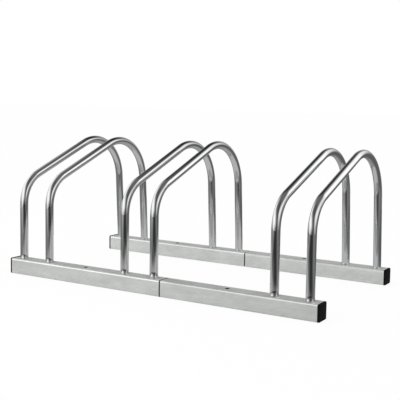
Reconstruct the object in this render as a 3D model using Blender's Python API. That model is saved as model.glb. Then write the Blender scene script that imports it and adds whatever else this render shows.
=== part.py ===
"""Bike parking stand for three bicycles.

Six bent tube hoops stand in three pairs on two square rails that lie on the
ground. Each rail is made of two sections joined by a plastic connector and
closed by two plastic end caps. Every hoop foot passes through the top wall of
a rail, stands over a pressed dimple in the bottom wall and is held there by a
countersunk screw that goes up into a threaded insert in the tube.

Frame: origin at the centre of the footprint on the ground, +X along the rails
to the right, +Y from the front rail to the rear rail, +Z up. Metres.
"""
import math

import bmesh
import bpy
from mathutils import Vector

# Whole stand
STAND_LENGTH = 0.705        # over the flanges of the end caps
RAIL_SPACING = 0.338        # centre line of front rail to centre line of rear rail
JOINT_OFFSET = 0.0253       # joint between rail sections, right of the middle
FIT_GAP = 0.0003            # clearance left between pieces that touch or nest

# Rails
RAIL_SIZE = 0.032
RAIL_WALL = 0.0012
RAIL_CORNER = 0.0017
CORNER_STEPS = 3
PLUG_CORNER_STEPS = 1
ANCHOR_OFFSET = 0.1638      # ground anchor hole, left and right of the middle
ANCHOR_DIAMETER = 0.0085

# Hoops
TUBE_DIAMETER = 0.0166
TUBE_WALL = 0.0010
TUBE_SIDES = 16
BORE_SIDES = 10
PAIR_PITCH = 0.0692         # centre to centre of the two hoops of a pair
END_TO_LEG = 0.0243         # end of the stand to the axis of the outermost leg
JOINT_TO_LEG = 0.0236       # joint to the axis of the nearest leg
SHOULDER_HEIGHT = 0.1926    # where front leg and slope would meet
SHOULDER_RADIUS = 0.065
APEX_HEIGHT = 0.3139        # where slope and rear leg would meet
APEX_INSET = 0.0177         # of that point, forward of the rear rail centre line
APEX_RADIUS = 0.097
SPRING_HEIGHT = 0.012       # rear leg starts to lean this far above the rail
SPRING_RADIUS = 0.300
FOURTH_LIFT = 0.0020        # the fourth hoop stands this much higher than the others
SHOULDER_STEPS = 6
APEX_STEPS = 9
SPRING_STEPS = 2

# Countersunk screws, threaded inserts and the dimples they sit in
SHANK_DIAMETER = 0.005
HEAD_DIAMETER = 0.010
HEAD_SINK = 0.0003          # head lies this far above the underside
SCREW_LENGTH = 0.016
SOCKET_WIDTH = 0.003
SOCKET_DEPTH = 0.0018
INSERT_LENGTH = 0.010
SCREW_SIDES = 12
DIMPLE_CROWN = 0.0009       # metal left above the countersink

# Plastic end caps and connectors
FLANGE_THICKNESS = 0.0036
FLANGE_BEVEL = 0.0006
CAP_PLUG_LENGTH = 0.0105
COLLAR_THICKNESS = 0.0020
CONNECTOR_PLUG_LENGTH = 0.0125
PLUG_WALL = 0.0022
RIB_HEIGHT = 0.0007
RIB_COUNT = 3

GALVANISED = ("galvanised", (0.56, 0.58, 0.57, 1.0), 0.38, 0.9)
BRIGHT_ZINC = ("bright_zinc", (0.74, 0.75, 0.76, 1.0), 0.14, 1.0)
BLACK_PLASTIC = ("black_plastic", (0.018, 0.018, 0.020, 1.0), 0.48, 0.0)
ZINC_HARDWARE = ("zinc_hardware", (0.62, 0.62, 0.60, 1.0), 0.30, 1.0)


# Scene and mesh helpers

def clear_scene():
    """Remove whatever the file opened with."""
    for obj in list(bpy.data.objects):
        bpy.data.objects.remove(obj, do_unlink=True)


def make_material(node_name, finish):
    """A Principled material of the node's own."""
    label, colour, roughness, metallic = finish
    material = bpy.data.materials.new(node_name + "_" + label)
    material.use_nodes = True
    shader = material.node_tree.nodes["Principled BSDF"]
    shader.inputs["Base Color"].default_value = colour
    shader.inputs["Roughness"].default_value = roughness
    shader.inputs["Metallic"].default_value = metallic
    material.diffuse_color = colour
    return material


def bridge(mesh, first, second):
    """Join two closed rings of vertices that start at the same angle."""
    count_a = len(first)
    count_b = len(second)
    if count_a == count_b:
        for i in range(count_a):
            j = (i + 1) % count_a
            mesh.faces.new((first[i], first[j], second[j], second[i]))
        return
    a = 0
    b = 0
    while a < count_a or b < count_b:
        here_a = first[a % count_a]
        here_b = second[b % count_b]
        if b >= count_b or (a < count_a and (a + 0.5) / count_a <= (b + 0.5) / count_b):
            mesh.faces.new((here_a, first[(a + 1) % count_a], here_b))
            a += 1
        else:
            mesh.faces.new((here_a, second[(b + 1) % count_b], here_b))
            b += 1


def skin(rings, looped):
    """A closed mesh over a chain of rings; a looped chain joins its own start."""
    mesh = bmesh.new()
    made = []
    for ring in rings:
        made.append([mesh.verts.new(point) for point in ring])
    for first, second in zip(made, made[1:]):
        bridge(mesh, first, second)
    if looped:
        bridge(mesh, made[-1], made[0])
    else:
        mesh.faces.new(made[0])
        mesh.faces.new(made[-1])
    bmesh.ops.recalc_face_normals(mesh, faces=mesh.faces)
    return mesh


def shade(mesh):
    """Smooth shading with the true edges kept sharp."""
    for face in mesh.faces:
        face.smooth = True
    for edge in mesh.edges:
        edge.smooth = edge.calc_face_angle(math.pi) < math.radians(35.0)


def add_node(name, mesh, place, finish):
    """Turn a mesh into the named object at its place."""
    shade(mesh)
    data = bpy.data.meshes.new(name)
    mesh.to_mesh(data)
    mesh.free()
    node = bpy.data.objects.new(name, data)
    node.location = place
    node.data.materials.append(make_material(name, finish))
    bpy.context.scene.collection.objects.link(node)
    return node


def add_cutter(name, bodies, place):
    """One hidden object that holds several separate cutting or adding bodies."""
    data = bpy.data.meshes.new(name)
    joined = bmesh.new()
    for body in bodies:
        part = bpy.data.meshes.new(name + "_part")
        body.to_mesh(part)
        body.free()
        joined.from_mesh(part)
        bpy.data.meshes.remove(part)
    joined.to_mesh(data)
    joined.free()
    cutter = bpy.data.objects.new(name, data)
    cutter.location = place
    cutter.hide_render = True
    cutter.display_type = "WIRE"
    bpy.context.scene.collection.objects.link(cutter)
    return cutter


def add_boolean(node, cutter, operation):
    """Combine a node with a helper body."""
    modifier = node.modifiers.new(cutter.name, "BOOLEAN")
    modifier.operation = operation
    modifier.solver = "EXACT"
    modifier.object = cutter


# Rings

def round_ring(x, y, z, radius, sides):
    """A level ring of a round piece about a vertical axis."""
    ring = []
    for i in range(sides):
        angle = math.tau * (i + 0.5) / sides
        ring.append(Vector((x + radius * math.cos(angle), y + radius * math.sin(angle), z)))
    return ring


def square_ring(x, size, corner, steps=CORNER_STEPS):
    """A ring across the rail: a square with rounded corners about the rail axis."""
    half = size / 2 - corner
    ring = []
    for quarter in range(4):
        middle = math.radians(45.0 + 90.0 * quarter)
        centre_y = math.copysign(half, math.cos(middle))
        centre_z = math.copysign(half, math.sin(middle))
        for step in range(steps + 1):
            angle = math.radians(90.0 * quarter + 90.0 * step / steps)
            y = centre_y + corner * math.cos(angle)
            z = centre_z + corner * math.sin(angle)
            ring.append(Vector((x, y, z)))
    return ring


def lathe(x, y, profile, sides):
    """A solid turned about a vertical axis from (radius, height) pairs."""
    return skin([round_ring(x, y, z, r, sides) for r, z in profile], looped=False)


# Positions shared by several pieces

def hoop_positions():
    """X of the six hoops, from the left."""
    outer = STAND_LENGTH / 2 - END_TO_LEG
    middle = JOINT_OFFSET - JOINT_TO_LEG
    return [
        -outer,
        -outer + PAIR_PITCH,
        middle - PAIR_PITCH,
        middle,
        outer - PAIR_PITCH,
        outer,
    ]


def section_spans():
    """Left and right end of the left and of the right rail section."""
    end = STAND_LENGTH / 2 - FLANGE_THICKNESS - FIT_GAP
    half_joint = COLLAR_THICKNESS / 2 + FIT_GAP
    return {
        "left": (-end, JOINT_OFFSET - half_joint),
        "right": (JOINT_OFFSET + half_joint, end),
    }


def circumscribed(radius, sides):
    """Corner radius of a polygon whose flats clear the given radius."""
    return radius / math.cos(math.pi / sides)


def countersink_radius():
    """Radius of the countersink where it meets the underside of the rail."""
    return HEAD_DIAMETER / 2 + HEAD_SINK + FIT_GAP * math.sqrt(2.0)


def dimple_top():
    """Height of the dimple's crown above the underside of the rail."""
    clearance = SHANK_DIAMETER / 2 + FIT_GAP
    return countersink_radius() - clearance + DIMPLE_CROWN


# Rails

def dimple_body(x):
    """The raised cone of metal around one screw, standing in the bottom wall."""
    base = countersink_radius() + RAIL_WALL * math.sqrt(2.0)
    low = RAIL_WALL / 2
    top = dimple_top()
    bottom = -RAIL_SIZE / 2
    profile = [(base - low, bottom + low), (base - top, bottom + top)]
    return lathe(x, 0.0, profile, SCREW_SIDES)


def countersink_body(x):
    """The cavity for one screw head and shank."""
    over = 0.0005
    mouth = countersink_radius()
    clearance = SHANK_DIAMETER / 2 + FIT_GAP
    bottom = -RAIL_SIZE / 2
    profile = [
        (mouth + over, bottom - over),
        (clearance, bottom + mouth - clearance),
        (clearance, bottom + dimple_top() + over),
    ]
    return lathe(x, 0.0, profile, SCREW_SIDES)


def leg_hole_body(x):
    """The hole that one hoop foot passes through in the top wall."""
    radius = circumscribed(TUBE_DIAMETER / 2 + FIT_GAP, TUBE_SIDES)
    top = RAIL_SIZE / 2
    profile = [(radius, top - 2 * RAIL_WALL), (radius, top + RAIL_WALL)]
    return lathe(x, 0.0, profile, TUBE_SIDES)


def anchor_hole_body(x):
    """The hole for a ground anchor, through top and bottom walls."""
    radius = ANCHOR_DIAMETER / 2
    reach = RAIL_SIZE / 2 + RAIL_WALL
    return lathe(x, 0.0, [(radius, -reach), (radius, reach)], SCREW_SIDES)


def make_rail_section(row, side, y):
    """One length of square tube with its holes and dimples."""
    start, end = section_spans()[side]
    middle = (start + end) / 2
    inner = RAIL_SIZE - 2 * RAIL_WALL
    inner_corner = RAIL_CORNER - RAIL_WALL
    rings = [
        square_ring(start - middle, RAIL_SIZE, RAIL_CORNER),
        square_ring(end - middle, RAIL_SIZE, RAIL_CORNER),
        square_ring(end - middle, inner, inner_corner),
        square_ring(start - middle, inner, inner_corner),
    ]
    place = Vector((middle, y, RAIL_SIZE / 2))
    name = row + "_rail_" + side
    rail = add_node(name, skin(rings, looped=True), place, GALVANISED)

    legs = [x - middle for x in hoop_positions() if start < x < end]
    anchor = math.copysign(ANCHOR_OFFSET, middle) - middle
    dimples = add_cutter(name + "_dimples", [dimple_body(x) for x in legs], place)
    cuts = [countersink_body(x) for x in legs]
    cuts += [leg_hole_body(x) for x in legs]
    cuts.append(anchor_hole_body(anchor))
    holes = add_cutter(name + "_holes", cuts, place)
    add_boolean(rail, dimples, "UNION")
    add_boolean(rail, holes, "DIFFERENCE")
    return rail


# Hoops

def fillet(before, corner, after, radius, steps):
    """Points and directions along the bend that rounds one corner of a path."""
    inward = (corner - before).normalized()
    outward = (after - corner).normalized()
    turn = inward.angle(outward)
    tangent = radius * math.tan(turn / 2)
    side = 1.0 if inward.x * outward.y - inward.y * outward.x > 0 else -1.0
    start = corner - inward * tangent
    normal = Vector((-inward.y, inward.x)) * side
    centre = start + normal * radius
    result = []
    for step in range(steps + 1):
        angle = turn * step / steps
        direction = inward * math.cos(angle) + normal * math.sin(angle)
        spoke = -normal * math.cos(angle) + inward * math.sin(angle)
        result.append((centre + spoke * radius, direction))
    return result


def hoop_path():
    """Centre line of a hoop in (Y, Z), from the front foot to the rear foot."""
    half = RAIL_SPACING / 2
    floor = RAIL_WALL + FIT_GAP
    front_foot = Vector((-half, floor))
    shoulder = Vector((-half, SHOULDER_HEIGHT))
    apex = Vector((half - APEX_INSET, APEX_HEIGHT))
    spring = Vector((half, RAIL_SIZE + SPRING_HEIGHT))
    rear_foot = Vector((half, floor))
    path = [(front_foot, Vector((0.0, 1.0)))]
    path += fillet(front_foot, shoulder, apex, SHOULDER_RADIUS, SHOULDER_STEPS)
    path += fillet(shoulder, apex, spring, APEX_RADIUS, APEX_STEPS)
    path += fillet(apex, spring, rear_foot, SPRING_RADIUS, SPRING_STEPS)
    path.append((rear_foot, Vector((0.0, -1.0))))
    return path


def tube_ring(point, direction, radius, sides):
    """A ring square to the centre line of a hoop."""
    normal = Vector((-direction.y, direction.x))
    ring = []
    for i in range(sides):
        angle = math.tau * (i + 0.5) / sides
        across = radius * math.cos(angle)
        within = radius * math.sin(angle)
        y = point.x + normal.x * within
        z = point.y + normal.y * within
        ring.append(Vector((across, y, z)))
    return ring


def make_hoop(number, x):
    """One hoop: a bent tube, open at both feet."""
    path = hoop_path()
    outer_radius = TUBE_DIAMETER / 2
    inner_radius = outer_radius - TUBE_WALL
    outer = [tube_ring(p, d, outer_radius, TUBE_SIDES) for p, d in path]
    inner = [tube_ring(p, d, inner_radius, BORE_SIDES) for p, d in path]
    mesh = skin(outer + inner[::-1], looped=True)
    lift = FOURTH_LIFT if number == 4 else 0.0
    return add_node("hoop_%d" % number, mesh, Vector((x, 0.0, lift)), BRIGHT_ZINC)


# Screws and inserts

def make_insert(name, x, y):
    """The threaded plug inside one foot of a hoop."""
    low = dimple_top() + FIT_GAP
    high = low + INSERT_LENGTH
    flats = (TUBE_DIAMETER / 2 - TUBE_WALL) * math.cos(math.pi / BORE_SIDES) - FIT_GAP
    outer = circumscribed(flats, BORE_SIDES)
    bore = circumscribed(SHANK_DIAMETER / 2 + FIT_GAP, BORE_SIDES)
    rings = [
        round_ring(0.0, 0.0, low, outer, BORE_SIDES),
        round_ring(0.0, 0.0, high, outer, BORE_SIDES),
        round_ring(0.0, 0.0, high, bore, BORE_SIDES),
        round_ring(0.0, 0.0, low, bore, BORE_SIDES),
    ]
    return add_node(name, skin(rings, looped=True), Vector((x, y, 0.0)), ZINC_HARDWARE)


def make_screw(name, x, y):
    """One countersunk screw with a six-sided socket, pointing up."""
    shank = SHANK_DIAMETER / 2
    head = HEAD_DIAMETER / 2
    socket = circumscribed(SOCKET_WIDTH / 2, 6)
    neck = HEAD_SINK + head - shank
    tip = HEAD_SINK + SCREW_LENGTH
    rings = [
        round_ring(0.0, 0.0, tip, shank * 0.75, SCREW_SIDES),
        round_ring(0.0, 0.0, tip - shank * 0.25, shank, SCREW_SIDES),
        round_ring(0.0, 0.0, neck, shank, SCREW_SIDES),
        round_ring(0.0, 0.0, HEAD_SINK, head, SCREW_SIDES),
        round_ring(0.0, 0.0, HEAD_SINK, socket, 6),
        round_ring(0.0, 0.0, HEAD_SINK + SOCKET_DEPTH, socket, 6),
    ]
    return add_node(name, skin(rings, looped=False), Vector((x, y, 0.0)), ZINC_HARDWARE)


# Plastic caps and connectors

def plug_ring(x, size):
    """A ring of a plug: a square with cut corners."""
    return square_ring(x, size, RAIL_CORNER - RAIL_WALL, PLUG_CORNER_STEPS)


def plug_rings(start, length, direction):
    """Barbed outside of a plug that fits into the rail, from its root to its tip."""
    crest = RAIL_SIZE - 2 * RAIL_WALL - 2 * FIT_GAP
    valley = crest - 2 * RIB_HEIGHT
    pitch = length / RIB_COUNT
    rings = [plug_ring(start, valley)]
    for i in range(RIB_COUNT):
        for offset, size in ((0.20, valley), (0.35, crest)):
            rings.append(plug_ring(start + direction * (i + offset) * pitch, size))
    rings.append(plug_ring(start + direction * length, valley))
    return rings


def bore_size():
    """Width of the hollow inside a plug."""
    return RAIL_SIZE - 2 * RAIL_WALL - 2 * FIT_GAP - 2 * RIB_HEIGHT - 2 * PLUG_WALL


def make_end_cap(row, side, y):
    """A cap with a flange over the end of the rail and a hollow plug inside it."""
    outward = -1.0 if side == "left" else 1.0
    face = outward * STAND_LENGTH / 2
    root = face - outward * FLANGE_THICKNESS
    rings = [
        square_ring(face, RAIL_SIZE - 2 * FLANGE_BEVEL, RAIL_CORNER - FLANGE_BEVEL),
        square_ring(face - outward * FLANGE_BEVEL, RAIL_SIZE, RAIL_CORNER),
        square_ring(root, RAIL_SIZE, RAIL_CORNER),
    ]
    rings += plug_rings(root, CAP_PLUG_LENGTH, -outward)
    tip = root - outward * CAP_PLUG_LENGTH
    rings.append(plug_ring(tip, bore_size()))
    rings.append(plug_ring(root, bore_size()))
    name = row + "_end_cap_" + side
    place = Vector((0.0, y, RAIL_SIZE / 2))
    return add_node(name, skin(rings, looped=False), place, BLACK_PLASTIC)


def make_connector(row, y):
    """A sleeve with a plug for each rail section and a collar between them."""
    half = COLLAR_THICKNESS / 2
    reach = half + CONNECTOR_PLUG_LENGTH
    rings = plug_rings(-half, CONNECTOR_PLUG_LENGTH, -1.0)[::-1]
    rings.append(square_ring(-half, RAIL_SIZE, RAIL_CORNER))
    rings.append(square_ring(half, RAIL_SIZE, RAIL_CORNER))
    rings += plug_rings(half, CONNECTOR_PLUG_LENGTH, 1.0)
    rings.append(plug_ring(reach, bore_size()))
    rings.append(plug_ring(-reach, bore_size()))
    name = row + "_rail_connector"
    place = Vector((JOINT_OFFSET, y, RAIL_SIZE / 2))
    return add_node(name, skin(rings, looped=True), place, BLACK_PLASTIC)


# Assembly

def build():
    """Make every piece of the stand."""
    clear_scene()
    rows = {"front": -RAIL_SPACING / 2, "rear": RAIL_SPACING / 2}
    for row, y in rows.items():
        for side in ("left", "right"):
            make_rail_section(row, side, y)
            make_end_cap(row, side, y)
        make_connector(row, y)
    for number, x in enumerate(hoop_positions(), start=1):
        make_hoop(number, x)
        for row, y in rows.items():
            make_insert("%s_insert_%d" % (row, number), x, y)
            make_screw("%s_screw_%d" % (row, number), x, y)


build()
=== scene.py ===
"""Looks of the bike parking stand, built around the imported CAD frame.

The rails, hoops, end caps, connectors and screws are finer meshes that stand
for the CAD solids of the same place and size. The threaded inserts keep their
CAD solids. Metres; +X along the rails, +Y to the rear rail, +Z up.
"""
from __future__ import annotations

import logging
import math
from dataclasses import dataclass
from enum import Enum
from typing import Iterable, Sequence

import bmesh
import bpy
from bmesh.types import BMEdge, BMesh, BMVert
from bpy.types import Material, Node, NodeSocket, NodeTree, Object
from mathutils import Matrix, Vector


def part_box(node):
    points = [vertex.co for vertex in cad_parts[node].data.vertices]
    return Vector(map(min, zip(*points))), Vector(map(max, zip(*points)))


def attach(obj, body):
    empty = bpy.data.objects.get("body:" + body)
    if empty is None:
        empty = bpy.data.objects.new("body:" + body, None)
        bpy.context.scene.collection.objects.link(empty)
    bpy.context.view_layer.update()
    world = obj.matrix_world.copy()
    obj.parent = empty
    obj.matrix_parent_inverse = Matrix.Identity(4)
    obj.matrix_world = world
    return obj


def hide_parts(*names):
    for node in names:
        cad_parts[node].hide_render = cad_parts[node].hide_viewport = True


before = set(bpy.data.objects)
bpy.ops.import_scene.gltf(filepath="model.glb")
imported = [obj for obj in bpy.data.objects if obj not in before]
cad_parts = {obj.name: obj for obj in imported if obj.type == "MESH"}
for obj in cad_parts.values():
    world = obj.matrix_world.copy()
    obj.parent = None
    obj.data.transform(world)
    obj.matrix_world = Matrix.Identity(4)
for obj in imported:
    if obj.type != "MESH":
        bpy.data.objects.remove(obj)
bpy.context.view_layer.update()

logging.basicConfig(level=logging.INFO, format="%(message)s")
LOG = logging.getLogger("bike_stand")

BODY = "root"
ROWS = ("front", "rear")
SIDES = ("left", "right")
HOOPS = range(1, 7)
IMAGE_SIZE = 400.0
NEAR = 1e-6
THIN = 1e-7
SHARP = math.radians(35.0)

Triple = tuple[float, float, float]
Inputs = dict[str | int, object]


class Slot(Enum):
    """The record's material slots."""

    GALVANISED = "galvanised"
    BRIGHT_ZINC = "bright_zinc"
    BLACK_PLASTIC = "black_plastic"
    ZINC_HARDWARE = "zinc_hardware"


class Carve(Enum):
    """How a helper body changes a piece."""

    ADD = "UNION"
    CUT = "DIFFERENCE"


# Node helpers


class NodeSheet:
    """A node tree with short calls to add and join nodes."""

    def __init__(self, tree: NodeTree) -> None:
        """Wraps a node tree."""
        self.tree = tree

    def feed(self, node: Node, inputs: Inputs) -> None:
        """Links or sets a node's inputs.

        Args:
            node: the node.
            inputs: an output socket or a plain value for each, by name or place.
        """
        for key, value in inputs.items():
            if isinstance(value, NodeSocket):
                self.tree.links.new(value, node.inputs[key])
            else:
                node.inputs[key].default_value = value

    def add(self, kind: str, inputs: Inputs | None = None, **settings: object) -> Node:
        """Adds a node.

        Args:
            kind: Blender's identifier of the node.
            inputs: see feed.
            **settings: attributes of the node to set.

        Returns:
            The new node.
        """
        node = self.tree.nodes.new(kind)
        for key, value in settings.items():
            setattr(node, key, value)
        self.feed(node, inputs or {})
        return node

    def math(self, operation: str, *values: object, clamp: bool = False) -> NodeSocket:
        """The result of a Math node."""
        return self.add("ShaderNodeMath", dict(enumerate(values)), operation=operation,
                        use_clamp=clamp).outputs[0]

    def ramp(self, value: object, low: float, high: float, start: float, end: float,
             kind: str = "SMOOTHSTEP") -> NodeSocket:
        """Maps a value so that low gives start and high gives end."""
        values = dict(enumerate((value, low, high, start, end)))
        return self.add("ShaderNodeMapRange", values, interpolation_type=kind).outputs[0]

    def within(self, distance: NodeSocket, reach: float, fade: float) -> NodeSocket:
        """From 1 under the reach to 0 beyond it, in a soft step as wide as the fade."""
        return self.ramp(self.math("ABSOLUTE", distance), reach - fade / 2, reach + fade / 2,
                         1.0, 0.0)

    def mix(self, share: object, first: object, second: object) -> NodeSocket:
        """A level between two others, by the share of the second."""
        return self.add("ShaderNodeMix", {"Factor": share, 2: first, 3: second},
                        data_type="FLOAT").outputs[0]

    def noise(self, vector: object, detail: float, roughness: float = 0.5) -> NodeSocket:
        """The value of a Noise Texture at a scale of 1."""
        return self.add("ShaderNodeTexNoise", {"Vector": vector, "Scale": 1.0, "Detail": detail,
                                               "Roughness": roughness}).outputs[0]

    def stretched(self, vector: object, scale: Triple) -> NodeSocket:
        """Coordinates stretched by a factor along each axis."""
        return self.add("ShaderNodeMapping", {"Vector": vector, "Scale": scale}).outputs[0]

    def leaning(self, vector: object, length: float, width: float, lean: float) -> NodeSocket:
        """Coordinates for features of a length and width, leaning in XZ by some degrees."""
        inputs = {"Vector": vector, "Rotation": (0.0, -math.radians(lean), 0.0),
                  "Scale": (length, width, width)}
        return self.add("ShaderNodeMapping", inputs, vector_type="TEXTURE").outputs[0]

    def split(self, vector: NodeSocket) -> bpy.types.NodeOutputs:
        """The X, Y and Z of a vector."""
        return self.add("ShaderNodeSeparateXYZ", {0: vector}).outputs

    def rays(self) -> tuple[NodeSocket, NodeSocket]:
        """Whether a ray is the camera's own, and whether it is mirrored or goes through."""
        path = self.add("ShaderNodeLightPath").outputs
        return path["Is Camera Ray"], self.math("MAXIMUM", path["Is Glossy Ray"],
                                                path["Is Transmission Ray"])


class Effects:
    """Shader node groups that several finishes share."""

    def __init__(self) -> None:
        """Makes the groups: soft cloudy patches, sparse fine scuffs and a fine grain."""
        self.cloud = self._group("cloudy_patches", "Value", {"Detail": 3.0, "Distortion": 0.4},
                                 (0.3, 0.7, -1.0, 1.0))
        self.scuffs = self._group("fine_scuffs", "Mask", {"Detail": 5.0, "Roughness": 0.7},
                                  (0.62, 0.72, 0.0, 1.0))
        self.grain = self._group("fine_grain", "Height", {}, None)

    @staticmethod
    def _group(name: str, result: str, noise: Inputs,
               levels: tuple[float, float, float, float] | None) -> NodeTree:
        """Makes a group with a Vector and a Scale in.

        Args:
            name: its name.
            result: name of its output.
            noise: settings of its noise.
            levels: low and high of the noise and what each gives, or None for small cells
                in the noise's place.

        Returns:
            The group.
        """
        group = bpy.data.node_groups.new(name, "ShaderNodeTree")
        for label, way, kind in (("Vector", "INPUT", "Vector"), ("Scale", "INPUT", "Float"),
                                 (result, "OUTPUT", "Float")):
            group.interface.new_socket(name=label, in_out=way, socket_type="NodeSocket" + kind)
        sheet = NodeSheet(group)
        source = sheet.add("NodeGroupInput").outputs
        inputs = {"Vector": source["Vector"], "Scale": source["Scale"], **noise}
        if levels:
            value = sheet.ramp(sheet.add("ShaderNodeTexNoise", inputs).outputs[0], *levels)
        else:
            cells = sheet.add("ShaderNodeTexVoronoi", inputs, feature="SMOOTH_F1")
            value = cells.outputs["Distance"]
        sheet.add("NodeGroupOutput", {result: value})
        return group


class Coat(NodeSheet):
    """The nodes of a finish that is being made, around its Principled shader."""

    def __init__(self, name: str, effects: Effects) -> None:
        """Starts a material.

        Args:
            name: its name.
            effects: the shared groups.
        """
        self.material = bpy.data.materials.new(name)
        self.material.use_nodes = True
        super().__init__(self.material.node_tree)
        self.effects = effects
        self.shader = self.tree.nodes["Principled BSDF"]
        coordinates = self.add("ShaderNodeTexCoord").outputs
        self.place = coordinates["Object"]
        self.along_tube = coordinates["UV"]

    def _effect(self, group: NodeTree, vector: NodeSocket, scale: float) -> NodeSocket:
        """The value of a shared group."""
        return self.add("ShaderNodeGroup", {"Vector": vector, "Scale": scale},
                        node_tree=group).outputs[0]

    def cloud(self, vector: NodeSocket, scale: float) -> NodeSocket:
        """Soft cloudy patches from -1 to 1, as zinc and plating have."""
        return self._effect(self.effects.cloud, vector, scale)

    def scuffs(self, vector: NodeSocket, scale: float) -> NodeSocket:
        """A mask of sparse fine scuffs."""
        return self._effect(self.effects.scuffs, vector, scale)

    def grain(self, scale: float) -> NodeSocket:
        """The height of a fine moulded or blasted grain."""
        return self._effect(self.effects.grain, self.place, scale)

    def lay(self, color: Triple, tone: NodeSocket, rough: NodeSocket, metal: object,
            height: NodeSocket, depth: float, strength: float) -> Material:
        """Joins the values to the shader.

        Args:
            color: the plain colour.
            tone: a factor on it.
            rough: the roughness.
            metal: the share of metal.
            height: the fine relief.
            depth: height of a full step of the relief.
            strength: strength of the relief.

        Returns:
            The material.
        """
        shade = self.add("ShaderNodeVectorMath", {0: color, "Scale": tone}, operation="SCALE")
        relief = self.add("ShaderNodeBump", {"Height": height, "Distance": depth,
                                             "Strength": strength})
        self.feed(self.shader, {"Base Color": shade.outputs[0], "Roughness": rough,
                                "Metallic": metal, "Normal": relief.outputs[0]})
        return self.material


# Finishes


@dataclass(frozen=True)
class GalvanisedSteel:
    """Satin zinc on rolled square tube: soft patches, fine scratches, a painted edge highlight.

    The lines are given by the length and width of one and its lean in degrees.
    """

    name: str
    color: Triple = (0.64, 0.66, 0.64)
    metallic: float = 0.50
    roughness: float = 0.36
    patch_scale: float = 26.0
    patch_stretch: Triple = (0.6, 1.0, 1.5)
    patch_amount: float = 0.07
    spangle_scale: float = 110.0
    spangle_amount: float = 0.03
    rolled_lines: Triple = (0.060, 0.0020, 0.0)
    rubbed_lines: Triple = (0.022, 0.0016, 28.0)
    line_amount: float = 0.05
    line_detail: float = 3.0
    line_height: float = 0.8
    level_polish: float = -0.6
    scuff_stretch: Triple = (40.0, 260.0, 260.0)
    scuff_roughness: float = 0.10
    grain_scale: float = 1300.0
    relief: tuple[float, float] = (0.00006, 0.35)
    painted_edge_highlight: float = 0.38
    edge_depth: float = 0.0023
    edge_width: float = 0.0019
    edge_polish: float = -0.08
    edge_metallic: float = -0.35
    painted_hole_shade: float = 0.97
    hole_reach: float = 0.00025
    hole_fade: float = 0.0003

    def _zones(self, sheet: Coat, layout: Layout) -> tuple[NodeSocket, NodeSocket]:
        """Finds the painted highlight under the upper edges and painted shade in the anchor
        holes.

        Args:
            sheet: the material's nodes.
            layout: sizes of the stand.

        Returns:
            A mask of the painted edge highlight and a mask of the painted hole shade.
        """
        place = sheet.split(sheet.place)

        def beside(axis: str, middle: float) -> NodeSocket:
            """Distance from a plane on either side of the origin."""
            away = sheet.math("ABSOLUTE", place[axis])
            return sheet.math("ABSOLUTE", sheet.math("SUBTRACT", away, middle))

        across = beside("Y", layout.rail_spacing / 2)
        # Band of the painted highlight: just under the top of the front and rear faces.
        line = layout.rail_size - self.edge_depth
        near = sheet.within(sheet.math("SUBTRACT", place["Z"], line), 0.5 * self.edge_width,
                            0.4 * self.edge_width)
        outside = sheet.math("GREATER_THAN", across, 0.4 * layout.rail_size)
        # Walls of the anchor holes, which get painted shade.
        along = beside("X", layout.anchor_offset)
        square = sheet.math("ADD", sheet.math("MULTIPLY", across, across),
                            sheet.math("MULTIPLY", along, along))
        radius = layout.anchor_diameter / 2 + self.hole_reach
        hole = sheet.within(sheet.math("SQRT", square), radius, self.hole_fade)
        return sheet.math("MULTIPLY", outside, near), hole

    def build(self, effects: Effects, layout: Layout) -> Material:
        """Builds the material.

        Args:
            effects: the shared groups.
            layout: sizes of the stand.

        Returns:
            The material.
        """
        sheet = Coat(self.name, effects)
        place = sheet.place
        patches = sheet.cloud(sheet.stretched(place, self.patch_stretch), self.patch_scale)
        patches = sheet.math("MULTIPLY", patches, self.patch_amount)
        cells = sheet.add("ShaderNodeTexVoronoi", {"Vector": place, "Scale": self.spangle_scale},
                          feature="SMOOTH_F1")
        grey = sheet.add("ShaderNodeSeparateColor", {0: cells.outputs["Color"]}).outputs[0]
        spangle = sheet.ramp(grey, 0.0, 1.0, -self.spangle_amount, self.spangle_amount, "LINEAR")
        rolled, rubbed = (sheet.noise(sheet.leaning(place, *lines), self.line_detail)
                          for lines in (self.rolled_lines, self.rubbed_lines))
        lines = sheet.math("MULTIPLY", sheet.math("ADD", rolled, rubbed), 0.5)
        line_value = sheet.ramp(lines, 0.35, 0.65, -self.line_amount, self.line_amount)
        level = sheet.math("ADD", sheet.math("ADD", patches, spangle), line_value)
        edge, hole = self._zones(sheet, layout)
        # Painted highlight: the colour is lighter in the band under the upper edges.
        tone = sheet.math("MULTIPLY_ADD", edge, self.painted_edge_highlight, sheet.math("ADD", level, 1.0))
        # Painted shade: the anchor-hole walls are darkened almost to black.
        tone = sheet.math("MULTIPLY", tone,
                          sheet.math("MULTIPLY_ADD", hole, -self.painted_hole_shade, 1.0))
        scuffs = sheet.scuffs(sheet.stretched(place, self.scuff_stretch), 1.0)
        rough = sheet.math("MULTIPLY_ADD", level, self.level_polish, self.roughness)
        rough = sheet.math("MULTIPLY_ADD", scuffs, self.scuff_roughness, rough)
        # The highlight band is also smoother and less metallic, keeping the painted highlight
        # bright.
        rough = sheet.math("MULTIPLY_ADD", edge, self.edge_polish, rough)
        metal = sheet.math("MULTIPLY_ADD", edge, self.edge_metallic, self.metallic)
        # The painted hole shade also takes the metal off these walls.
        metal = sheet.math("MULTIPLY_ADD", hole, -self.metallic, metal, clamp=True)
        height = sheet.math("MULTIPLY_ADD", lines, self.line_height,
                            sheet.grain(self.grain_scale))
        return sheet.lay(self.color, tone, rough, metal, height, *self.relief)


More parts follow.
